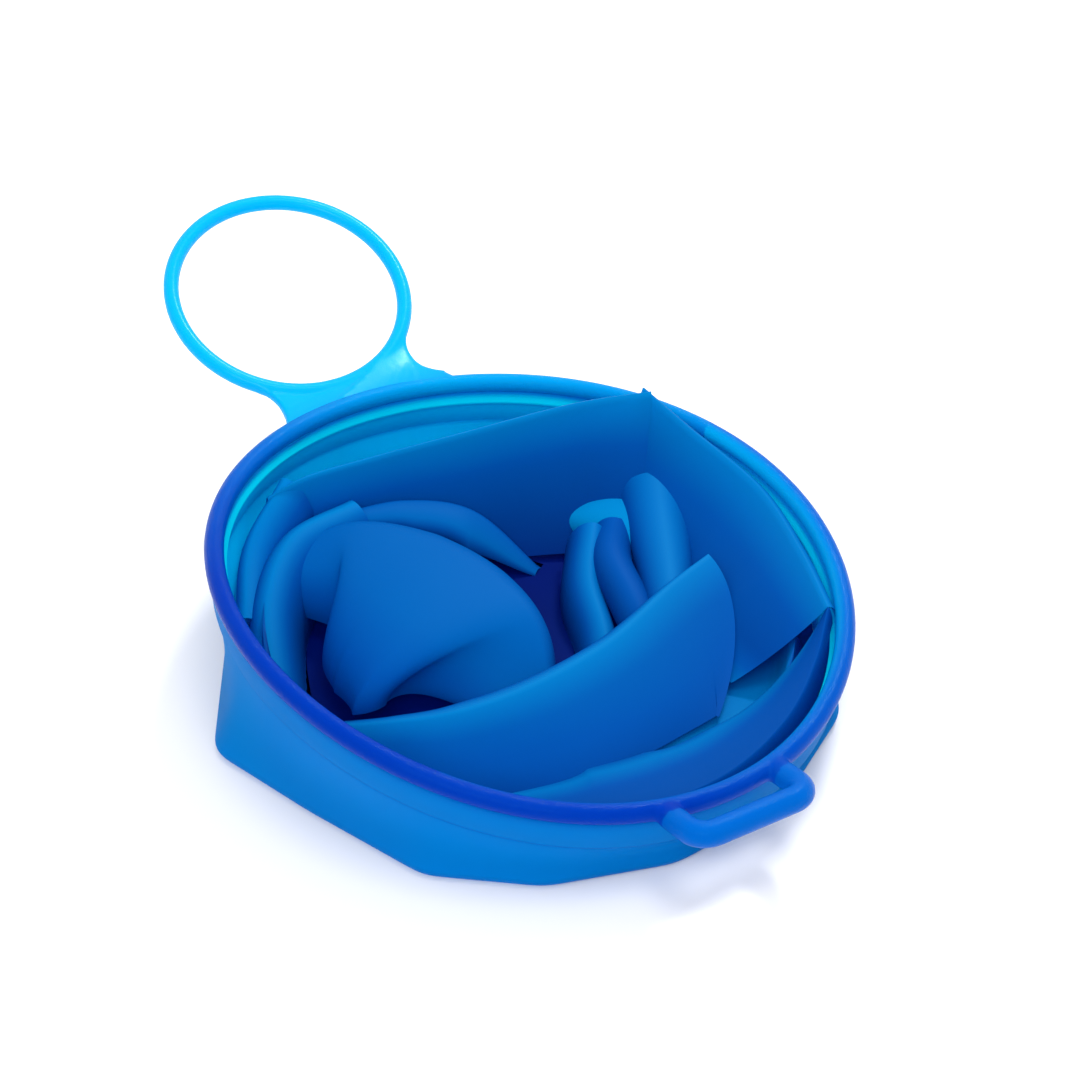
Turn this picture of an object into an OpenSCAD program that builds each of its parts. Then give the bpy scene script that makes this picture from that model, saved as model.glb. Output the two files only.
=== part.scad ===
// Folding silicone sick bowl, lying on a table with its bag pushed down into folds.
// +Z is up from the table, +X runs from the hand ring to the closing loop.

/* [Rim] */
// Outside length of the rim, from hand ring to closing loop
rim_length = 188; // [176:1:196]
// Outside width of the rim
rim_width = 172; // [168:1:180]
// Height of the rim's middle above the table
rim_height = 31; // [30:1:34]
// Thickness of the rim bead
bead_d = 5.6; // [4.8:0.1:6.2]
// Lean of the rim about the X axis
rim_roll = -3.5; // [-4:0.1:0]
// Lean of the rim about the Y axis
rim_pitch = 3.8; // [0:0.1:4]
// How far the two ends hang below the two sides, halved
rim_sag = 3.3; // [0:0.1:4]

/* [Collar] */
// Depth of the thick collar under the bead's middle
collar_h = 12; // [9:0.5:13]
// Wall of the collar
collar_t = 2; // [1.6:0.1:2.4]

/* [Bag] */
// Thickness of the thin bag wall
skin_t = 1.2; // [0.8:0.1:1.4]
// Height of the rounded hem that the bag stands on
hem_h = 3; // [2:0.5:4]
// Width of the hem
hem_w = 4.5; // [4:0.1:5]
// Radius of the foot that the bag stands on
foot_r = 85.5; // [85:0.5:87]
// How far its three blunt corners stand out
foot_corner = 3; // [0:0.5:3]

/* [Ridge] */
// Radius of the ridge where the bag turns back down inside
ridge_r = 71; // [70:0.5:72]
// Height of the ridge at the front
ridge_front_h = 22; // [18:1:24]
// Height of the ridge at the back
ridge_back_h = 32; // [28:1:34]
// Height of the peak above the ridge
peak_h = 9; // [4:1:10]
// How far the peak leans out
peak_out = 7; // [2:1:8]

/* [Hand ring] */
// Diameter of the ring on the middle of its bar
ring_d = 70.4; // [62:0.2:76]
// Thickness of the ring's bar
ring_bar = 4.8; // [4:0.1:5.4]
// Distance from the bending line to the ring's middle
ring_reach = 38.4; // [35:0.2:42]
// Upward bend of the ring from the rim's plane
ring_lift = 19; // [5:1:30]
// Sideways turn of the ring
ring_turn = 3; // [-5:1:5]
// Twist of the ring
ring_twist = 4.5; // [-6:0.5:6]
// Width of the web at its neck
neck_w = 45; // [38:1:50]
// Thickness of the web
web_t = 3; // [2.4:0.1:3.4]

/* [Closing loop] */
// Thickness of the loop's bar
loop_bar_d = 7; // [6:0.1:7.4]
// Inside width of the slot
slot_w = 27; // [24:1:32]
// Inside depth of the slot, out from the rim
slot_d = 7; // [6:0.5:9]
// Upward lean of the loop from the rim's plane
loop_lift = 14; // [0:1:20]

/* [Hidden] */

around = 72;                          // stations round the rim and the bag
bead_r = bead_d / 2;
rim_x = rim_length / 2 - bead_r;      // half lengths of the bead's middle line
rim_y = rim_width / 2 - bead_r;
hinge_x = rim_length / 2 + 3;         // bending line of the hand ring
neck_x = -3.4;                        // place of the web's neck, past the bending line
rim_fillet_r = 14;                    // hollow curve from the neck to the rim
ring_fillet_r = 11;                   // hollow curve from the neck to the ring
ring_join_a = 46;                     // sweep of that curve
ring_edge_a = 43;                     // half the stretch of ring that the web meets
root_a = 20;                          // half the stretch of rim that the web meets
hinge_w = neck_w + 0.9;               // width of the web on its bending line
loop_bend = 5;                        // corner radius of the loop, on the middle of its bar
corner_a = 22;                        // direction of one of the foot's corners
back_a = 160;                         // direction in which the ridge is highest
peak_a = 120;                         // direction of the peak
ridge_foot_r = 66;                    // radius at which the ridge's inner side meets the floor
ring_blue = [0.10, 0.70, 0.95];
bead_blue = [0.05, 0.30, 0.75];
skin_blue = [0.10, 0.50, 0.85];
fold_blue = [0.05, 0.38, 0.75];

// Smooth bump that is 1 at angle 0 and dies away w degrees to each side
function bump(a, w) = let (off = abs((a + 540) % 360 - 180)) off < w ? pow(cos(90 * off / w), 2) : 0;
function foot_at(a) = foot_r + foot_corner * cos(3 * (a - corner_a));
function ridge_out(a) = ridge_r + peak_out * bump(a - peak_a, 40);
function ridge_top(a) = (ridge_back_h + ridge_front_h) / 2
    + (ridge_back_h - ridge_front_h) / 2 * cos(a - back_a) + peak_h * bump(a - peak_a, 28);
function polar(a, r, z) = [r * cos(a), r * sin(a), z];
// A point given in the rim's own frame, placed above the table
function seat(p) =
    let (y1 = p[1] * cos(rim_roll) - p[2] * sin(rim_roll), z1 = p[1] * sin(rim_roll) + p[2] * cos(rim_roll))
    [p[0] * cos(rim_pitch) + z1 * sin(rim_pitch), y1, z1 * cos(rim_pitch) - p[0] * sin(rim_pitch) + rim_height];
// A point of the rim at angle a, dr outside and dz above the bead's middle line
function rim_point(a, dr, dz) = seat([(rim_x + dr) * cos(a), (rim_y + dr) * sin(a), dz - rim_sag * cos(2 * a)]);
function angles() = [for (i = [0:around - 1]) i * 360 / around - 180];

// A closed band round the bowl: one loop of points for each corner of its section
module hoop(loops) {
    n = len(loops[0]);
    m = len(loops);
    polyhedron(points = [for (l = loops) each l], convexity = 8,
        faces = [for (j = [0:m - 1], i = [0:n - 1])
            let (a = j * n + i, b = j * n + (i + 1) % n, c = ((j + 1) % m) * n + (i + 1) % n, d = ((j + 1) % m) * n + i)
            each [[a, b, c], [a, c, d]]]);
}

// A closed dome: outlines stacked from the foot to the top
module mound(size, height, lean = 0, sides = 32, levels = 6) {
    outline = function (k) let (t = 90 * k / (levels - 0.6))
        [for (i = [0:sides - 1]) let (a = 360 * i / sides, f = pow(cos(t), 0.6))
            [f * size[0] * cos(a) + lean * sin(t), f * size[1] * sin(a), height * sin(t)]];
    top = (levels - 1) * sides;
    polyhedron(points = [for (k = [0:levels - 1]) each outline(k)], convexity = 4,
        faces = [[for (i = [0:sides - 1]) i], [for (i = [sides - 1:-1:0]) top + i],
            for (k = [0:levels - 2], i = [0:sides - 1])
                let (a = k * sides + i, b = k * sides + (i + 1) % sides, c = b + sides, d = a + sides)
                each [[a, c, b], [a, d, c]]]);
}

module rim_frame() translate([0, 0, rim_height]) rotate([rim_roll, rim_pitch, 0]) children();
module ring_frame()
    rim_frame() translate([-hinge_x, 0, -rim_sag]) rotate([ring_twist, ring_lift, ring_turn]) children();
module loop_frame()
    rim_frame() translate([rim_length / 2 - bead_r, 0, -rim_sag]) rotate([0, -loop_lift, 0]) children();
module ring_torus(grow = 0)
    translate([-ring_reach, 0, 0]) rotate_extrude($fn = 96)
        translate([ring_d / 2, 0]) circle(d = ring_bar + 2 * grow, $fn = 32);

module rim_bead() color(bead_blue)
    hoop([for (k = [0:13]) [for (a = angles()) rim_point(a, bead_r * cos(k * 360 / 14), bead_r * sin(k * 360 / 14))]]);

// Collar under the bead, tucked just inside its lower face
module collar() color(skin_blue)
    hoop([for (c = [[0.4, -bead_r - 0.05], [-collar_t + 0.4, -bead_r - 0.05], [-collar_t + 0.4, -collar_h], [0.4, -collar_h]])
        [for (a = angles()) rim_point(a, c[0], c[1])]]);

// Small ledge on the collar's inner face
module inner_ledge() color(ring_blue)
    hoop([for (c = [[-collar_t + 0.35, -4], [-collar_t - 0.9, -4.3], [-collar_t - 0.9, -5.2], [-collar_t + 0.35, -5.6]])
        [for (a = angles()) rim_point(a, c[0], c[1])]]);

// Thin wall from the collar down to the hem
module outer_wall() color(skin_blue)
    hoop([for (c = [[0, 0], [1, 0], [1, 1], [0, 1]])
        [for (a = angles())
            c[1] == 0 ? rim_point(a, (c[0] == 0 ? 0 : -skin_t) - 0.2, -collar_h - 0.05)
                      : polar(a, foot_at(a) - (c[0] == 0 ? 0.2 : skin_t + 0.2), hem_h + 0.05)]]);

// Rounded crease that the bag stands on
module bag_hem() color(skin_blue)
    hoop([for (c = [[0, hem_h], [-hem_w + 1, hem_h], [-hem_w, hem_h * 0.6], [-hem_w, 0], [-1.5, 0], [-0.3, hem_h * 0.4]])
        [for (a = angles()) polar(a, foot_at(a) + c[0], c[1])]]);

// Flat bottom layer inside the hem
module bag_floor() color(fold_blue)
    linear_extrude(skin_t)
        polygon([for (a = angles()) let (r = foot_at(a) - hem_w - 0.05) [r * cos(a), r * sin(a)]]);

function outer_foot(a) = min(ridge_out(a) + 2, foot_at(a) - hem_w - 1);
function crest(a, dr, dz) = polar(a, ridge_out(a) + dr, ridge_top(a) + dz);

// The ridge where the bag's wall turns back down inside
module crest_fold() color(fold_blue) {
    low = skin_t + 0.05;
    hoop([[for (a = angles()) polar(a, outer_foot(a), low)],
          [for (a = angles()) crest(a, 0.7, -1)],
          [for (a = angles()) crest(a, 0, 0)],
          [for (a = angles()) crest(a, -1, -1)],
          [for (a = angles()) polar(a, ridge_foot_r, low)],
          [for (a = angles()) polar(a, ridge_foot_r + 1.6, low)],
          [for (a = angles()) crest(a, -0.3, -4)],
          [for (a = angles()) polar(a, outer_foot(a) - skin_t, low)]]);
}

// Large smooth fold in the middle of the bag
module pillow_fold() color(fold_blue)
    translate([-19, -19, skin_t + 0.05]) rotate([0, 0, -4]) difference() {
        mound([36, 21], 22, -3);
        translate([0, 0, -0.01]) mound([36 - skin_t, 21 - skin_t], 22 - skin_t, -3);
    }

// Upright pleat beside the left wall
module left_fold() color(fold_blue)
    translate([-31, -46, skin_t + 0.05]) rotate([0, 0, -24]) difference() {
        mound([15, 5], 18);
        translate([0, 0, -0.01]) mound([15 - skin_t, 5 - skin_t], 18 - skin_t);
    }

// Slanting sheet that faces the closing loop
module front_fold() color(fold_blue)
    translate([0, 29, skin_t + 0.05]) rotate([90, 0, 0]) linear_extrude(61)
        polygon([[20, 0], [20, 15], [22, 18], [24, 18], [54, 1.4], [54, 0], [51, 0], [23, 16], [22, 15], [21.5, 0]]);

// Low pleat inside the right-hand wall
module right_fold() color(fold_blue)
    translate([36, 42, skin_t + 0.05]) rotate([0, 0, -40]) difference() {
        mound([12, 4], 14);
        translate([0, 0, -0.01]) mound([12 - skin_t, 4 - skin_t], 14 - skin_t);
    }

// Rolled-over flap at the back, with its inner turn
module curl_fold() color(fold_blue)
    translate([-22, 38, skin_t + 11.1]) rotate([0, 90, 0]) difference() {
        cylinder(r = 11, h = 36, $fn = 64);
        translate([0, 0, -1]) cylinder(r = 11 - skin_t, h = 38, $fn = 64);
    }
module curl_core() color(fold_blue)
    translate([-20, 38, skin_t * 2 + 5.15]) rotate([0, 90, 0]) difference() {
        cylinder(r = 5, h = 32, $fn = 48);
        translate([0, 0, -1]) cylinder(r = 5 - skin_t, h = 34, $fn = 48);
    }

// Fine raised line down the inside of the collar, at the back
module measure_rib() color(ring_blue)
    rim_frame() rotate([0, 0, 176]) translate([rim_x - collar_t - 0.5, 0, -collar_h + 1 - rim_sag])
        cylinder(r = 0.8, h = 5, $fn = 24);

// Edges of the web, in the plane of the ring: its hollow curves, and where it meets rim and ring
function rim_fillet(from_a, to_a, n = 6) =
    [for (i = [0:n]) let (a = from_a + (to_a - from_a) * i / n)
        [neck_x + rim_fillet_r * cos(a), neck_w / 2 + rim_fillet_r - rim_fillet_r * sin(a)]];
function ring_fillet(n = 8) =
    [for (i = [0:n]) let (a = 90 - ring_join_a * i / n)
        [neck_x - ring_fillet_r * cos(a), neck_w / 2 + ring_fillet_r - ring_fillet_r * sin(a)]];
function rim_edge(n = 8) =
    [for (i = [0:n]) let (a = root_a - 2 * root_a * i / n)
        [hinge_x - (rim_x + bead_r - 0.6) * cos(a), (rim_y + bead_r - 0.6) * sin(a)]];
function ring_edge(n = 16) =
    [for (i = [0:n]) let (a = ring_edge_a - 2 * ring_edge_a * i / n)
        [-ring_reach + (ring_d / 2) * cos(a), (ring_d / 2) * sin(a)]];
function flip(points) = [for (i = [len(points) - 1:-1:0]) [points[i][0], -points[i][1]]];

// Fixed half of the web, between the bead and the bending line
module web_root() color(ring_blue)
    rim_frame() translate([-hinge_x, 0, -rim_sag - web_t / 2]) linear_extrude(web_t)
        polygon(concat(rim_fillet(66, 24), rim_edge(), flip(rim_fillet(66, 24))));

// Moving half of the web, rounded on the bending line and let into the ring
module ring_web() color(ring_blue)
    ring_frame() difference() {
        union() {
            translate([0, 0, -web_t / 2]) linear_extrude(web_t)
                polygon(concat(ring_edge(), flip(ring_fillet()), [[0, -hinge_w / 2], [0, hinge_w / 2]], ring_fillet()));
            rotate([90, 0, 0]) cylinder(d = web_t, h = hinge_w, center = true, $fn = 32);
        }
        ring_torus();
    }

module hand_ring() color(ring_blue) ring_frame() ring_torus();

// Closing loop: two short arms, rounded corners and the outer bar
module closing_loop() color(bead_blue)
    loop_frame() {
        out = bead_r + slot_d + loop_bar_d / 2 - loop_bend;
        for (s = [0, 1]) mirror([0, s, 0]) {
            side = (slot_w + loop_bar_d) / 2;
            translate([0.5, side, 0]) rotate([0, 90, 0]) cylinder(d = loop_bar_d, h = out - 0.5, $fn = 48);
            translate([out, side - loop_bend, 0]) rotate_extrude(angle = 90, $fn = 48)
                translate([loop_bend, 0]) circle(d = loop_bar_d, $fn = 48);
        }
        translate([out + loop_bend, 0, 0]) rotate([90, 0, 0])
            cylinder(d = loop_bar_d, h = slot_w + loop_bar_d - 2 * loop_bend, center = true, $fn = 48);
    }

rim_bead();
collar();
inner_ledge();
outer_wall();
bag_hem();
bag_floor();
crest_fold();
pillow_fold();
left_fold();
front_fold();
right_fold();
curl_fold();
curl_core();
measure_rib();
web_root();
ring_web();
hand_ring();
closing_loop();
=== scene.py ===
import bpy, bmesh, math
import numpy as np
from mathutils import Matrix, Vector


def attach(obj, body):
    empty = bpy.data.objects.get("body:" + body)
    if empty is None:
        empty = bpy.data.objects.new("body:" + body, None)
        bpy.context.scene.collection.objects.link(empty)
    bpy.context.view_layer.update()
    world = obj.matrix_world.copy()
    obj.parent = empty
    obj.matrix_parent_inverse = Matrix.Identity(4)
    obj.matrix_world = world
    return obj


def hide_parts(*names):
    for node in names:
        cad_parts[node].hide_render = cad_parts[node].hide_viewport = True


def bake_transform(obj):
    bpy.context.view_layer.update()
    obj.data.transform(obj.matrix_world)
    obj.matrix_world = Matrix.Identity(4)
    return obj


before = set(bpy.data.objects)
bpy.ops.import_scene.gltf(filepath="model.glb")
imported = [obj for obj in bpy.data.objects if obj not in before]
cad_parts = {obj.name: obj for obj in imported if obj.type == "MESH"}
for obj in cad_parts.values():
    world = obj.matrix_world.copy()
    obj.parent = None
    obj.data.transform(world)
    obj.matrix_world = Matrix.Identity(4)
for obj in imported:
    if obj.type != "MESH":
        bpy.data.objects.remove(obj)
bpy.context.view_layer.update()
print("frame loaded")

mm = 0.001


# The camera
view = {"azimuth": 57.3, "elevation": 38.0, "distance": 0.70, "lens": 86.4,
        "target": (-0.0005, 0.0038, 0.040)}


def makeCamera():
    a, e = math.radians(view["azimuth"]), math.radians(view["elevation"])
    back = Vector((math.sin(a) * math.cos(e), -math.cos(a) * math.cos(e), math.sin(e)))
    data = bpy.data.cameras.new("camera")
    data.lens = view["lens"]
    cam = bpy.data.objects.new("camera", data)
    bpy.context.collection.objects.link(cam)
    cam.location = Vector(view["target"]) + back * view["distance"]
    cam.rotation_mode = "QUATERNION"
    cam.rotation_quaternion = (-back).to_track_quat("-Z", "Y")
    bpy.context.scene.camera = cam


makeCamera()


# Shapes that several pieces share
rim = {"halfX": 91.2, "halfY": 83.2, "height": 31.0, "roll": -3.5, "pitch": 3.8, "sag": 3.3, "beadR": 2.8}

# corners of the outline on which the bag stands: direction in degrees, and distance from the middle in mm
foot = [(-175, 88), (-157, 88), (-127, 85), (-97, 93), (-75, 85), (-50, 90), (-30, 90), (-8, 90),
        (14, 90), (40, 88), (70, 85), (95, 86), (125, 84), (150, 88)]


def footRadius(angle):
    corner = np.array([(r * math.cos(math.radians(a)), r * math.sin(math.radians(a))) for a, r in foot])
    turn = np.unwrap(np.arctan2(corner[:, 1], corner[:, 0]))
    fine = np.radians(np.arange(-720, 721) / 2)    # every half degree, over two turns
    reach = np.zeros(len(fine))
    for k in range(len(corner)):
        (x0, y0), (x1, y1) = corner[k], corner[(k + 1) % len(corner)]
        here = (fine - turn[k]) % (2 * np.pi) <= ((turn[(k + 1) % len(corner)] - turn[k]) % (2 * np.pi))
        cross = np.cos(fine) * (y1 - y0) - np.sin(fine) * (x1 - x0)
        reach = np.where(here, (x0 * (y1 - y0) - y0 * (x1 - x0)) / np.where(here, cross, 1), reach)
    weights = np.hanning(19)    # rounds the corners over a few degrees
    return np.interp(angle, fine, np.convolve(reach, weights / weights.sum(), mode="same"))


def seat(x, y, z):    # from the rim's own plane to the table, in mm
    r, p = math.radians(rim["roll"]), math.radians(rim["pitch"])
    y1, z1 = y * math.cos(r) - z * math.sin(r), y * math.sin(r) + z * math.cos(r)
    return x * math.cos(p) + z1 * math.sin(p), y1, z1 * math.cos(p) - x * math.sin(p) + rim["height"]


def rimPoint(angle, out, up):
    return seat((rim["halfX"] + out) * np.cos(angle), (rim["halfY"] + out) * np.sin(angle),
                up - rim["sag"] * np.cos(2 * angle))


def newObject(name, bm):
    mesh = bpy.data.meshes.new(name)
    bm.to_mesh(mesh)
    bm.free()
    obj = bpy.data.objects.new(name, mesh)
    bpy.context.collection.objects.link(obj)
    return obj


def smoothShade(obj):
    obj.data.polygons.foreach_set("use_smooth", [True] * len(obj.data.polygons))


def applied(obj):    # turns the modifiers into mesh
    graph = bpy.context.evaluated_depsgraph_get()
    mesh = bpy.data.meshes.new_from_object(obj.evaluated_get(graph))
    obj.modifiers.clear()
    obj.data = mesh
    return obj


def spunSheet(rows, steps, closed=False):
    bm = bmesh.new()
    verts = [bm.verts.new((1, 0, row)) for row in range(rows)]
    edges = [bm.edges.new((a, b)) for a, b in zip(verts, verts[1:])]
    if closed:
        edges.append(bm.edges.new((verts[-1], verts[0])))
    bmesh.ops.spin(bm, geom=verts + edges, cent=(0, 0, 0), axis=(0, 0, 1), angle=2 * math.pi, steps=steps,
                   use_merge=True)
    return bm


def placeRows(bm, place):    # each spun point goes where place(row, angle) says, in mm
    co = np.array([v.co for v in bm.verts], float)
    x, y, z = place(co[:, 2], np.arctan2(co[:, 1], co[:, 0]))
    for v, px, py, pz in zip(bm.verts, x, y, z):
        v.co = (px * mm, py * mm, pz * mm)
    bmesh.ops.recalc_face_normals(bm, faces=bm.faces)


def fused(name, parts, voxel, rounds):    # several closed solids run into one smooth skin
    bm = bmesh.new()
    for part in parts:
        bm.from_mesh(part.data)
        bpy.data.objects.remove(part)
    obj = newObject(name, bm)
    remesh = obj.modifiers.new("remesh", "REMESH")
    remesh.mode = "VOXEL"
    remesh.voxel_size = voxel * mm
    applied(obj)
    bm = bmesh.new()
    bm.from_mesh(obj.data)
    for _ in range(rounds):
        bmesh.ops.smooth_vert(bm, verts=bm.verts, factor=0.5, use_axis_x=True, use_axis_y=True,
                              use_axis_z=True)
    bm.to_mesh(obj.data)
    bm.free()
    smoothShade(obj)
    return obj


# The silicone
def tagLayersAndShade(obj, values):    # how many layers of silicone are seen through each point, with painted light and shade in the same value
    tag = obj.data.attributes.new("layers", "FLOAT", "POINT")
    tag.data.foreach_set("value", np.clip(values, 0, 1).astype(np.float32))


def points(obj):
    co = np.empty(len(obj.data.vertices) * 3, np.float32)
    obj.data.vertices.foreach_get("co", co)
    return co.reshape(-1, 3) / mm


every = {"highlight": (0.1, 0.6, 1, 1), "coatRoughness": 0.14, "grainDetail": 3, "grainDepth": 0.0003,
         "smoother": 0.05, "rougher": 0.07, "cloudScale": 16, "cloudDetail": 2}    # in every silicone here


def silicone(name, look):
    mat = bpy.data.materials.new(name)
    mat.use_nodes = True
    nodes, links = mat.node_tree.nodes, mat.node_tree.links
    nodes.clear()
    out = nodes.new("ShaderNodeOutputMaterial")
    body = nodes.new("ShaderNodeBsdfPrincipled")
    body.inputs["IOR"].default_value = look["ior"]
    body.inputs["Specular IOR Level"].default_value = look["gloss"]
    body.inputs["Specular Tint"].default_value = every["highlight"]
    body.inputs["Coat Weight"].default_value = look["coat"]
    body.inputs["Coat Roughness"].default_value = every["coatRoughness"]
    behind = nodes.new("ShaderNodeBsdfTranslucent")
    behind.inputs["Color"].default_value = (*look["tint"], 1)
    seen = nodes.new("ShaderNodeBsdfTransparent")
    seen.inputs["Color"].default_value = (*look["tint"], 1)
    inner = nodes.new("ShaderNodeMixShader")
    inner.inputs["Fac"].default_value = look["clear"]
    links.new(behind.outputs[0], inner.inputs[1])
    links.new(seen.outputs[0], inner.inputs[2])
    mix = nodes.new("ShaderNodeMixShader")
    mix.inputs["Fac"].default_value = look["through"]
    links.new(body.outputs[0], mix.inputs[1])
    links.new(inner.outputs[0], mix.inputs[2])
    links.new(mix.outputs[0], out.inputs["Surface"])

    where = nodes.new("ShaderNodeTexCoord")
    fine = nodes.new("ShaderNodeTexNoise")    # fine grain of the mould
    fine.inputs["Scale"].default_value = look["grainScale"]
    fine.inputs["Detail"].default_value = every["grainDetail"]
    links.new(where.outputs["Object"], fine.inputs["Vector"])
    relief = nodes.new("ShaderNodeBump")
    relief.inputs["Strength"].default_value = look["grain"]
    relief.inputs["Distance"].default_value = every["grainDepth"]
    links.new(fine.outputs["Fac"], relief.inputs["Height"])
    links.new(relief.outputs["Normal"], body.inputs["Normal"])
    rough = nodes.new("ShaderNodeMapRange")
    rough.inputs["To Min"].default_value = look["roughness"] - every["smoother"]
    rough.inputs["To Max"].default_value = look["roughness"] + every["rougher"]
    links.new(fine.outputs["Fac"], rough.inputs["Value"])
    links.new(rough.outputs["Result"], body.inputs["Roughness"])

    ramp = nodes.new("ShaderNodeValToRGB")    # from one layer to several, and from painted light to painted shade
    stops = ramp.color_ramp.elements
    stops[0].color = (*look["ramp"][0], 1)
    stops[1].color = (*look["ramp"][2], 1)
    stops.new(0.5).color = (*look["ramp"][1], 1)
    cloud = nodes.new("ShaderNodeTexNoise")    # slow change of colour through the wall
    cloud.inputs["Scale"].default_value = every["cloudScale"]
    cloud.inputs["Detail"].default_value = every["cloudDetail"]
    links.new(where.outputs["Object"], cloud.inputs["Vector"])
    drift = nodes.new("ShaderNodeMapRange")
    drift.inputs["To Min"].default_value = -look["drift"]
    drift.inputs["To Max"].default_value = look["drift"]
    links.new(cloud.outputs["Fac"], drift.inputs["Value"])
    level = nodes.new("ShaderNodeMath")
    level.operation = "ADD"
    links.new(drift.outputs["Result"], level.inputs[0])
    # the layers value carries the layer count and painted light and shade
    count = nodes.new("ShaderNodeAttribute")
    count.attribute_name = "layers"
    links.new(count.outputs["Fac"], level.inputs[1])
    links.new(level.outputs[0], ramp.inputs["Fac"])
    links.new(ramp.outputs["Color"], body.inputs["Base Color"])
    return mat


beadSilicone = silicone("beadSilicone", {
    "ramp": [(0.0, 0.50, 0.90), (0.0, 0.15, 0.58), (0.0, 0.035, 0.42)], "tint": (0.0, 0.45, 0.95),
    "roughness": 0.15, "gloss": 0.3, "coat": 0.0, "ior": 1.3, "through": 0.3, "clear": 0.4, "grain": 0.55,
    "grainScale": 1900, "drift": 0.06})
ringSilicone = silicone("ringSilicone", {
    "ramp": [(0.0, 0.58, 0.95), (0.0, 0.48, 0.90), (0.0, 0.22, 0.72)], "tint": (0.0, 0.70, 1.0),
    "roughness": 0.24, "gloss": 0.4, "coat": 0.1, "ior": 1.42, "through": 0.4, "clear": 0.2, "grain": 0.12,
    "grainScale": 2400, "drift": 0.12})
skinSilicone = silicone("skinSilicone", {
    "ramp": [(0.0, 0.92, 1.0), (0.0, 0.21, 0.60), (0.0, 0.07, 0.42)], "tint": (0.0, 0.62, 1.0),
    "roughness": 0.45, "gloss": 0.12, "coat": 0.0, "ior": 1.42, "through": 0.45, "clear": 0.35, "grain": 0.15,
    "grainScale": 3200, "drift": 0.06})
foldSilicone = silicone("foldSilicone", {
    "ramp": [(0.0, 0.28, 0.66), (0.0, 0.085, 0.40), (0.0, 0.006, 0.14)], "tint": (0.0, 0.26, 0.75),
    "roughness": 0.5, "gloss": 0.1, "coat": 0.0, "ior": 1.42, "through": 0.22, "clear": 0.1, "grain": 0.15,
    "grainScale": 3200, "drift": 0.04})
print("silicone ready")


# Rim bead with the closing loop
loop = {"lift": 14.0, "slotWidth": 27.0, "slotDepth": 7.0, "bar": 7.0, "corner": 5.0, "from": 95.0,
        "tone": 0.55}
# layers seen in the bead with painted light and shade, by direction in degrees: paler on the far, backlit
# side, darker at the front; its near half gets a painted paler band on the inside
bead = {"sides": 20, "around": 240,
        "turns": (-180, -160, -135, -110, -25, 0, 30, 60, 100, 140, 165, 180),
        "tones": (0.25, 0.45, 0.8, 1.0, 1.0, 0.8, 0.65, 0.5, 0.4, 0.2, 0.15, 0.25),
        "change": 12, "inside": -0.35, "outside": 0.1, "nearSlant": 0.6, "nearFrom": 20}


def beadRing():
    bm = spunSheet(bead["sides"], bead["around"], closed=True)
    r = rim["beadR"]

    def place(row, angle):
        a = 2 * np.pi * row / bead["sides"]
        return rimPoint(angle, r * np.cos(a), r * np.sin(a))
    placeRows(bm, place)
    return newObject("beadRing", bm)


def loopTube():
    side = (loop["slotWidth"] + loop["bar"]) / 2
    reach = rim["beadR"] + loop["slotDepth"] + loop["bar"] / 2
    c = loop["corner"]
    path = [(0, -side), (reach - c, -side)]
    path += [(reach - c + c * math.sin(a), -side + c - c * math.cos(a))
             for a in np.radians(range(15, 91, 15))]
    path += [(x, -y) for x, y in reversed(path)]
    curve = bpy.data.curves.new("loopTube", "CURVE")
    curve.dimensions = "3D"
    curve.bevel_depth = loop["bar"] / 2 * mm
    curve.bevel_resolution = 6
    curve.use_fill_caps = True
    line = curve.splines.new("POLY")
    line.points.add(len(path) - 1)
    lift = math.radians(loop["lift"])
    for p, (x, y) in zip(line.points, path):
        place = seat(rim["halfX"] + x * math.cos(lift), y, x * math.sin(lift) - rim["sag"])
        p.co = (*[v * mm for v in place], 1)
    obj = bpy.data.objects.new("loopTube", curve)
    bpy.context.collection.objects.link(obj)
    mesh = bpy.data.meshes.new_from_object(obj)
    bpy.data.objects.remove(obj)
    tube = bpy.data.objects.new("loopTube", mesh)
    bpy.context.collection.objects.link(tube)
    return tube


def beadTone(spots):
    x, y = spots[:, 0], spots[:, 1]
    tone = np.interp(np.degrees(np.arctan2(y, x)), bead["turns"], bead["tones"])
    side = np.hypot(x / rim["halfX"], y / rim["halfY"]) - 1    # below 0 on the inside
    # painted light: the inside of the near half is made paler
    near = x + bead["nearSlant"] * y > bead["nearFrom"]
    tone = tone + np.clip(side * bead["change"], bead["inside"], bead["outside"]) * near
    return np.where(np.hypot(x, y) > loop["from"], loop["tone"], tone)


rimPiece = fused("rimAndLoop", [beadRing(), loopTube()], voxel=0.55, rounds=6)
tagLayersAndShade(rimPiece, beadTone(points(rimPiece)))
rimPiece.data.materials.append(beadSilicone)
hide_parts("rim_bead", "closing_loop")
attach(rimPiece, "rim")
print("rim and loop done", len(rimPiece.data.polygons))


# Hand ring and its web
ring = {"reach": 38.4, "radius": 35.2, "bar": 4.8, "lift": 19.0, "turn": 3.0, "twist": 4.5, "hinge": 97.0,
        "neck": 45.0, "neckAt": -3.4, "atRim": 14.0, "atRing": 11.0, "endX": 90.0, "endY": 82.0, "web": 3.0,
        "paleAt": -100.0, "deepAt": -88.0, "tones": (0.3, 0.6)}


def ringMatrix():
    turn = [Matrix.Rotation(math.radians(a), 4, n) for a, n in
            ((rim["pitch"], "Y"), (rim["roll"], "X"), (ring["turn"], "Z"), (ring["lift"], "Y"),
             (ring["twist"], "X"))]
    rimTurn = Matrix.Translation((0, 0, rim["height"] * mm)) @ turn[0] @ turn[1]
    toHinge = Matrix.Translation((-ring["hinge"] * mm, 0, -rim["sag"] * mm))
    return rimTurn @ toHinge @ turn[2] @ turn[3] @ turn[4]


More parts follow.
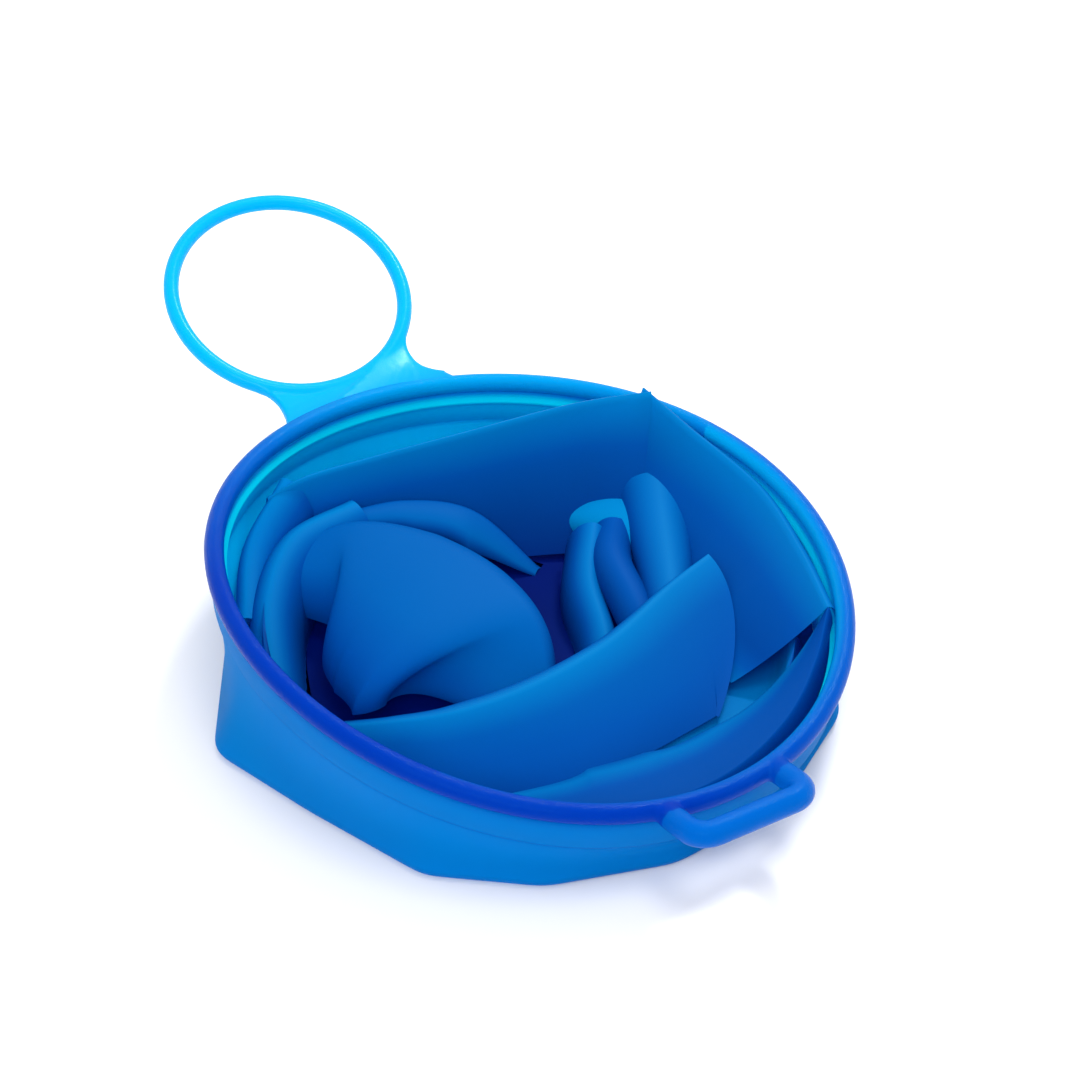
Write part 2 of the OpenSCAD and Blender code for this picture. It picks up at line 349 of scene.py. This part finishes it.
def ringTorus():
    bm = bmesh.new()
    circle = bmesh.ops.create_circle(bm, segments=20, radius=ring["bar"] / 2 * mm)
    bmesh.ops.rotate(bm, verts=circle["verts"], matrix=Matrix.Rotation(math.pi / 2, 3, "X"))
    bmesh.ops.translate(bm, verts=circle["verts"], vec=(ring["radius"] * mm, 0, 0))
    bmesh.ops.spin(bm, geom=bm.verts[:] + bm.edges[:], cent=(0, 0, 0), axis=(0, 0, 1), angle=2 * math.pi,
                   steps=128, use_merge=True)
    bmesh.ops.translate(bm, verts=bm.verts, vec=(-ring["reach"] * mm, 0, 0))
    bmesh.ops.transform(bm, matrix=ringMatrix(), verts=bm.verts)
    bmesh.ops.recalc_face_normals(bm, faces=bm.faces)
    return newObject("ringTorus", bm)


def webPlate():
    half, neck, atRim, atRing = ring["neck"] / 2, ring["neckAt"], ring["atRim"], ring["atRing"]
    edge = []
    for t in np.radians(range(40, 91, 10)):    # hollow curve towards the rim
        edge.append((neck + atRim * math.cos(t), half + atRim - atRim * math.sin(t)))
    for t in np.radians(range(84, 43, -8)):    # and towards the ring
        edge.append((neck - atRing * math.cos(t), half + atRing - atRing * math.sin(t)))
    ringSide = [(-ring["reach"] + ring["radius"] * math.cos(a), ring["radius"] * math.sin(a))
                for a in np.radians(range(43, -44, -6))]
    rimSide = [(ring["hinge"] - ring["endX"] * math.cos(a), ring["endY"] * math.sin(a))
               for a in np.radians(range(-21, 22, 3))]
    outline = edge + ringSide + [(x, -y) for x, y in reversed(edge)] + rimSide
    bm = bmesh.new()
    verts = [bm.verts.new((x * mm, y * mm, -ring["web"] / 2 * mm)) for x, y in outline]
    face = bm.faces.new(verts)
    top = bmesh.ops.extrude_face_region(bm, geom=[face])
    moved = [g for g in top["geom"] if isinstance(g, bmesh.types.BMVert)]
    bmesh.ops.translate(bm, verts=moved, vec=(0, 0, ring["web"] * mm))
    ringPlace, rimPlace = ringMatrix(), ringMatrix() @ Matrix.Rotation(math.radians(-ring["lift"]), 4, "Y")
    for v in bm.verts:    # flat on the rim's side of the bending line, turned with the ring past it
        v.co = (rimPlace if v.co.x > 0 else ringPlace) @ v.co
    bmesh.ops.recalc_face_normals(bm, faces=bm.faces)
    return newObject("webPlate", bm)


ringPiece = fused("handRing", [ringTorus(), webPlate()], voxel=0.5, rounds=8)
tagLayersAndShade(ringPiece, np.interp(points(ringPiece)[:, 0], (ring["paleAt"], ring["deepAt"]), ring["tones"]))
ringPiece.data.materials.append(ringSilicone)
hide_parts("hand_ring", "ring_web", "web_root")
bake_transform(ringPiece)
print("hand ring done", len(ringPiece.data.polygons))


# Collar and outer wall, one skin from the bead to the foot
skin = {"topOut": -0.85, "topUp": -13.0, "footR": 3.0, "wall": 1.1, "drawIn": 1.5, "wallRows": 22,
        "footRows": 7, "around": 360}
# outside of the collar: distance below the bead's middle line, outward offset, layers seen with painted
# shade: a dark painted line under the bead and another at the step at the collar's foot
collarOut = [(-2.4, 0.6, 0.9), (-4.2, 0.7, 0.7), (-6, 0.7, 0.55), (-11.2, 0.6, 0.5), (-11.8, 0.35, 0.75),
             (-12.2, -0.25, 0.85), (-12.9, -0.3, 0.55)]
# and of its inside, with the ledge; its low values are painted light, and the ledge is a bright painted line
collarIn = [(-13.2, -1.4, 0.35), (-12.4, -1.5, 0.35), (-11.9, -2.1, 0.3), (-7.8, -2.2, 0.24),
            (-6.4, -2.3, 0.2), (-5.9, -2.5, 0.05), (-5.3, -3.5, 0.0), (-4.4, -3.5, 0.0),
            (-3.8, -2.5, 0.1), (-3.2, -2.4, 0.15), (-2.4, -2.4, 0.5)]


def wallPoint(angle, part, side):    # part runs from 0 at the collar to 1 at the foot
    x0, y0, z0 = rimPoint(angle, skin["topOut"] + side, skin["topUp"])
    r = footRadius(angle) - skin["wall"] / 2 + side
    inward = skin["drawIn"] * np.sin(np.pi * part)
    x = x0 + (r * np.cos(angle) - x0) * part - inward * np.cos(angle)
    y = y0 + (r * np.sin(angle) - y0) * part - inward * np.sin(angle)
    return x, y, z0 + (skin["footR"] - z0) * part


def footPoint(angle, turn, side):    # quarter turn under the bag
    tight = skin["footR"] - skin["wall"] / 2
    r = footRadius(angle) - skin["footR"] + (tight + side) * math.cos(turn)
    height = skin["footR"] - (tight + side) * math.sin(turn)
    return r * np.cos(angle), r * np.sin(angle), np.full_like(angle, height)


def skinSection():    # one entry a row: how to place it, layers seen with painted light and shade
    half = skin["wall"] / 2
    fractions = np.linspace(0, 1, skin["wallRows"] + 1)[1:]
    turns = np.linspace(0, math.pi / 2, skin["footRows"] + 1)[1:]
    rows = [(lambda a, up=up, out=out: rimPoint(a, out, up), tone) for up, out, tone in collarOut]
    rows += [(lambda a, f=f: wallPoint(a, f, half), 0.5) for f in fractions]
    rows += [(lambda a, t=t: footPoint(a, t, half), 0.55) for t in turns]
    rows += [(lambda a, t=t: footPoint(a, t, -half), 0.6) for t in turns[::-1]]
    # painted light: the inside of the wall is paler, as if lit through it
    rows += [(lambda a, f=f: wallPoint(a, f, -half), 0.3) for f in fractions[::-1]]
    return rows + [(lambda a, up=up, out=out: rimPoint(a, out, up), tone) for up, out, tone in collarIn]


def makeSkin():
    section = skinSection()
    bm = spunSheet(len(section), skin["around"], closed=True)
    layers = bm.verts.layers.float.new("layers")
    for v in bm.verts:
        v[layers] = section[int(round(v.co.z))][1]

    def place(row, angle):
        spot = np.zeros((3, len(row)))
        for k, (station, _) in enumerate(section):
            here = np.round(row) == k
            spot[:, here] = station(angle[here])
        return spot
    placeRows(bm, place)
    obj = newObject("bagSkin", bm)
    smoothShade(obj)
    return obj


skinPiece = makeSkin()
skinPiece.data.materials.append(skinSilicone)
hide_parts("collar", "inner_ledge", "measure_rib", "outer_wall", "bag_hem")
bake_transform(skinPiece)
print("skin done")


# The folds inside. Each runs along a ridge of a few points, and falls away on its left and right:
# how far it reaches, how far it drops, and its tone at that edge: layers of silicone seen, with painted shade
# in the pockets and painted light on the lit ridges and patches. A hollow side hangs, an unhollow one bulges,
# and back slants the right edge along the ridge
folds = {
    "backSheet": {"ridge": [(-70, -43, 29), (-68, -33, 33), (-66, -10, 33), (-60, 15, 35),
                            (-51, 50, 38), (-42, 69, 40)],
                  "tone": 0.15, "hollow": 0.7, "left": ((3, 3, 3, 1), (6, 6, 6, 1), (0.3, 0.5)),
                  "right": ((8, 11, 14, 20, 28, 44), (24, 30, 31, 33, 34, 36), (0.55, 0.75, 0.9))},
    "rightSheet": {"ridge": [(-45, 68, 40), (-28, 72, 35), (0, 77, 29), (28, 71, 27), (51, 63, 26)],
                   "tone": 0.2, "hollow": 0.6, "left": ((1, 3, 3), (1, 5, 5), (0.3, 0.4)),
                   "right": ((30, 38, 42, 38, 26), (39, 34, 27, 24, 22), (0.5, 0.65, 0.3))},
    "rightFold": {"ridge": [(51, 63, 26), (61, 52, 21), (74, 32, 18), (81, 6, 16),
                            (76, -24, 14), (60, -48, 9)],
                  "tone": 0.6, "hollow": 0.3, "left": (2, 10, (0.6, 0.6)),
                  "right": ((2, 12, 22, 28, 30, 20), (8, 12, 12, 11, 11, 7), (0.55, 0.25, 0.5))},
    "behindPillow": {"ridge": [(-60, -22, 22), (-57, -6, 21), (-48, 10, 17), (-30, 22, 2)],
                     "tone": 0.45, "left": (4, 8, (0.6, 0.8)),
                     "right": ((4, 8, 10, 2), (4, 5, 6, 1), (0.4, 0.6))},
    "pillow": {"ridge": [(-58, -42, 20), (-51, -27, 25), (-34, -15, 27), (-13, -6, 25),
                         (5, -3, 20), (24, -8, 5)],
               "tone": 0.42, "left": ((3, 8, 11, 10, 6, 1), (6, 12, 14, 14, 12, 3), (0.45, 0.65)),
               "right": ((17, 34, 48, 54, 44, 16), (12, 19, 20, 16, 11, 2), (0.42, 0.5, 0.6))},
    "frontPanel": {"ridge": [(4, -62, 8), (16, -52, 14), (24, -40, 17), (27, -18, 18),
                             (24, 10, 19), (14, 38, 20), (9, 54, 20)],
                   "tone": 0.2, "hollow": 0.5,
                   "left": ((5, 7, 9, 8, 6, 4, 2), (4, 8, 11, 11, 9, 9, 9), (0.6, 0.8)),
                   "right": ((16, 16, 20, 26, 28, 31, 33), (7, 11, 14, 15, 16, 16, 16), (0.45, 0.5, 0.65)),
                   "back": (0, 0, 0, 0, -4, -20, -38)},
    "leftPleat": {"ridge": [(-72, -36, 32), (-62, -53, 23), (-42, -66, 15)],
                  "tone": 0.15, "left": (9, 14, (0.5, 0.8)), "right": (3, 5, (0.3, 0.5))},
    "innerPleat": {"ridge": [(-61, -20, 24), (-57, -42, 24), (-43, -58, 19), (-14, -72, 8)],
                   "tone": 0.2, "left": (10, 20, (0.6, 0.95)), "right": (5, 6, (0.4, 0.55))},
    "narrowFold": {"ridge": [(-24, 37, 17), (-8, 25, 14), (10, 18, 10), (28, 8, 4)],
                   "tone": 0.25, "left": (4, 6, (0.4, 0.6)), "right": (8, 12, (0.6, 0.95))},
    "tongue": {"ridge": [(-24, 44, 16), (-10, 34, 18), (6, 30, 16), (26, 26, 10)],
               "tone": 0.5, "left": (6, 6, (0.6, 0.7)), "right": (6, 7, (0.6, 0.8))},
    "litPatch": {"ridge": [(-48, 34, 8), (-36, 46, 14), (-16, 60, 19)],
                 "tone": 0.1, "left": (2, 3, (0.2, 0.4)), "right": ((1, 12, 20), (1, 7, 8), (0.05, 0.1))},
}
# the flap rolled up at the back: the line it is rolled round, and its spiral from the inner turn outwards;
# its tones are layers seen with painted shade inside the roll and painted light on the outer flap
curl = {"from": (-30, 60, 11), "to": (15, 36, 11), "inner": 2.0, "outer": 13.0, "turns": 1.45,
        "start": -330.0, "narrow": 0.4, "tones": (0.95, 0.75, 0.35, 0.7, 0.6, 0.25, 0.6)}
# the plain ridge under them, with the CAD part's sizes but sunk below its height
ridge = {"radius": 71.0, "front": 22.0, "back": 32.0, "backTurn": 160.0, "peak": 9.0, "peakOut": 7.0,
         "peakTurn": 120.0, "peakOutWidth": 40, "peakWidth": 28, "sunk": 10.0}
# the sheet that covers it: its tone is deep in the low middle, layers seen with painted shade there, and it
# lightens towards the loop
under = {"slope": 3.0, "floor": 1.2, "outerRows": 10, "innerRows": 40, "around": 288, "outward": 2.0,
         "footGap": 3.5, "flare": 3.0, "bow": 0.7, "start": 0.9, "centre": 0.02, "manyAndShaded": 1.0, "fewerAndLessShaded": 0.75,
         "fewerFrom": 20.0, "fewerOver": 25.0, "low": 12.0, "middle": 72.0, "elsewhere": 0.5}


def spline(points, count):    # smooth line through the points
    p = np.asarray(points, float)
    d = np.concatenate([[0], np.cumsum(np.sqrt(np.linalg.norm(np.diff(p[:, :3], axis=0), axis=1)))])
    t = np.linspace(0, d[-1], count)
    slope = np.gradient(p, d, axis=0)
    k = np.clip(np.searchsorted(d, t, side="right") - 1, 0, len(p) - 2)
    h = (d[k + 1] - d[k])[:, None]
    u = (t - d[k])[:, None] / h
    return ((2 * u ** 3 - 3 * u ** 2 + 1) * p[k] + (u ** 3 - 2 * u ** 2 + u) * h * slope[k]
            + (3 * u ** 2 - 2 * u ** 3) * p[k + 1] + (u ** 3 - u ** 2) * h * slope[k + 1])


def spread(values, count):    # values spaced evenly along a fold
    return np.interp(np.linspace(0, 1, count), np.linspace(0, 1, np.size(values)), np.atleast_1d(values))


def gridSheet(bm, layers, place, tone):    # place and tone have one row for each line along the fold
    rows, columns = tone.shape
    made = bmesh.ops.create_grid(bm, x_segments=columns - 1, y_segments=rows - 1, size=1)["verts"]
    for v, spot, shade in zip(made, place.reshape(-1, 3), tone.ravel()):
        v.co = Vector(spot) * mm
        v[layers] = min(1, max(0, shade))


def addFold(bm, layers, fold, columns=96, rows=41):
    line = spline(fold["ridge"], columns)
    ahead = np.gradient(line[:, :2], axis=0)
    ahead /= np.linalg.norm(ahead, axis=1)[:, None]
    place, tone = np.zeros((rows, columns, 3)), np.zeros((rows, columns))
    for k, part in enumerate(np.linspace(-1, 1, rows)):
        reach, drop, edgeTone = fold["right"] if part > 0 else fold["left"]
        turn, hollow = abs(part) * np.pi / 2, fold.get("hollow", 0) if part > 0 else 0
        wide, low = np.sin(turn), 1 - np.cos(turn)
        wide, low = wide + (low - wide) * hollow, low + (wide - low) * hollow
        out = np.sign(part) * spread(reach, columns) * wide
        skew = spread(fold.get("back", 0), columns) * max(0, part) * wide
        place[k, :, 0] = line[:, 0] + out * ahead[:, 1] + skew * ahead[:, 0]
        place[k, :, 1] = line[:, 1] - out * ahead[:, 0] + skew * ahead[:, 1]
        place[k, :, 2] = np.maximum(under["floor"], line[:, 2] - spread(drop, columns) * low)
        tone[k] = spread((fold["tone"], *edgeTone), 101)[int(100 * abs(part))]
    gridSheet(bm, layers, place, tone)


def addCurl(bm, layers, columns=64, rows=90):
    a, b = np.array(curl["from"], float), np.array(curl["to"], float)
    side = np.cross((b - a) / np.linalg.norm(b - a), (0, 0, 1))
    place = np.zeros((rows, columns, 3))
    for k, part in enumerate(np.linspace(0, 1, rows)):
        turn = math.radians(curl["start"]) + 2 * np.pi * curl["turns"] * part
        reach = curl["inner"] + (curl["outer"] - curl["inner"]) * part
        wide = 1 - curl["narrow"] * np.linspace(0, 1, columns)[:, None]    # it narrows towards the far end
        place[k] = a + (b - a) * np.linspace(0, 1, columns)[:, None] + reach * wide * (
            math.cos(turn) * side + math.sin(turn) * np.array([0, 0, 1]))
    tone = np.repeat(spread(curl["tones"], rows)[:, None], columns, axis=1)
    gridSheet(bm, layers, place, tone)


def bump(degrees, width):    # 1 in the middle, dying away to each side
    off = np.abs((degrees + 540) % 360 - 180)
    return np.where(off < width, np.cos(np.radians(90 * off / width)) ** 2, 0)


def ridgeOut(degrees):
    return ridge["radius"] + ridge["peakOut"] * bump(degrees - ridge["peakTurn"], ridge["peakOutWidth"])


def ridgeTop(degrees):
    middle, swing = (ridge["back"] + ridge["front"]) / 2, (ridge["back"] - ridge["front"]) / 2
    return middle + swing * np.cos(np.radians(degrees - ridge["backTurn"])) + ridge["peak"] * bump(
        degrees - ridge["peakTurn"], ridge["peakWidth"])


def addUnderlay(bm, layers):
    outer, inner = under["outerRows"], under["innerRows"]
    sheet = spunSheet(outer + inner, under["around"])
    tag = sheet.verts.layers.float.new("layers")

    def place(row, angle):
        degrees = np.degrees(angle)
        cr, cz = ridgeOut(degrees) + under["outward"], ridgeTop(degrees) - ridge["sunk"]
        fr = np.minimum(footRadius(angle) - under["footGap"], cr + under["flare"])
        up = np.clip(row / outer, 0, 1)
        t = np.clip((row - outer) / (inner - 1), 0, 1)
        r = np.where(row < outer, fr + (cr - fr) * up ** under["bow"], cr * (1 - t) + under["centre"])
        inside = np.maximum(under["floor"], cz - under["slope"] * cr * t)
        z = np.where(row < outer, under["start"] + (cz - under["start"]) * up, inside)
        return r * np.cos(angle), r * np.sin(angle), z
    placeRows(sheet, place)
    for v in sheet.verts:
        x, y = v.co.x / mm, v.co.y / mm
        # painted shade: darkest in the low middle, less of it towards the front
        front = min(1, max(0, (x - under["fewerFrom"]) / under["fewerOver"]))
        inMiddle = v.co.z < under["low"] * mm and math.hypot(x, y) < under["middle"]
        v[tag] = under["manyAndShaded"] - under["fewerAndLessShaded"] * front if inMiddle else under["elsewhere"]
    mesh = bpy.data.meshes.new("underlay")
    sheet.to_mesh(mesh)
    sheet.free()
    bm.from_mesh(mesh)


def makeFolds():
    bm = bmesh.new()
    layers = bm.verts.layers.float.new("layers")
    addUnderlay(bm, layers)
    for fold in folds.values():
        addFold(bm, layers, fold)
    addCurl(bm, layers)
    obj = newObject("bagFolds", bm)
    smoothShade(obj)
    return obj


foldPiece = makeFolds()
foldPiece.data.materials.append(foldSilicone)
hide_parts("crest_fold", "pillow_fold", "left_fold", "front_fold", "right_fold", "curl_fold",
            "curl_core")
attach(foldPiece, "bag")
print("folds done", len(foldPiece.data.polygons))


# Bottom layer
bottom = {"rows": 14, "around": 144, "inset": 3.2, "centre": 0.02, "height": 0.55, "merge": 0.05, "tone": 0.8}


def makeBottom():
    bm = spunSheet(bottom["rows"], bottom["around"])

    def place(row, angle):
        r = (footRadius(angle) - bottom["inset"]) * (1 - row / (bottom["rows"] - 1)) + bottom["centre"]
        return r * np.cos(angle), r * np.sin(angle), np.full_like(r, bottom["height"])
    placeRows(bm, place)
    bmesh.ops.remove_doubles(bm, verts=bm.verts, dist=bottom["merge"] * mm)
    obj = newObject("bagBottom", bm)
    smoothShade(obj)
    tagLayersAndShade(obj, np.full(len(obj.data.vertices), bottom["tone"]))
    return obj


bottomPiece = makeBottom()
bottomPiece.data.materials.append(foldSilicone)
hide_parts("bag_floor")
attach(bottomPiece, "bag")


# Floor and light
def makeStage():
    bm = bmesh.new()
    bmesh.ops.create_grid(bm, x_segments=1, y_segments=1, size=6)
    table = newObject("tableTop", bm)
    mat = bpy.data.materials.new("paleFloor")
    mat.use_nodes = True
    body = mat.node_tree.nodes["Principled BSDF"]
    body.inputs["Base Color"].default_value = (0.93, 0.93, 0.93, 1)
    body.inputs["Roughness"].default_value = 0.6
    table.data.materials.append(mat)
    world = bpy.data.worlds.new("studio")
    world.use_nodes = True
    world.node_tree.nodes["Background"].inputs["Color"].default_value = (1, 1, 1, 1)
    world.node_tree.nodes["Background"].inputs["Strength"].default_value = 0.78
    bpy.context.scene.world = world


def addLight(name, place, size, power):
    data = bpy.data.lights.new(name, "AREA")
    data.shape = "RECTANGLE"
    data.size, data.size_y = size
    data.energy = power
    lamp = bpy.data.objects.new(name, data)
    bpy.context.collection.objects.link(lamp)
    lamp.location = place
    lamp.rotation_mode = "QUATERNION"
    lamp.rotation_quaternion = (Vector((0, 0, 0)) - Vector(place)).to_track_quat("-Z", "Y")


makeStage()
addLight("keyLight", place=(-0.45, 0.75, 1.1), size=(0.3, 0.14), power=9)
addLight("fillLight", place=(0.7, -0.65, 0.9), size=(0.6, 0.4), power=6)
addLight("topLight", place=(0.15, 0.1, 1.3), size=(0.5, 0.5), power=4)
bpy.context.scene.view_settings.view_transform = "Standard"
print("stage done")
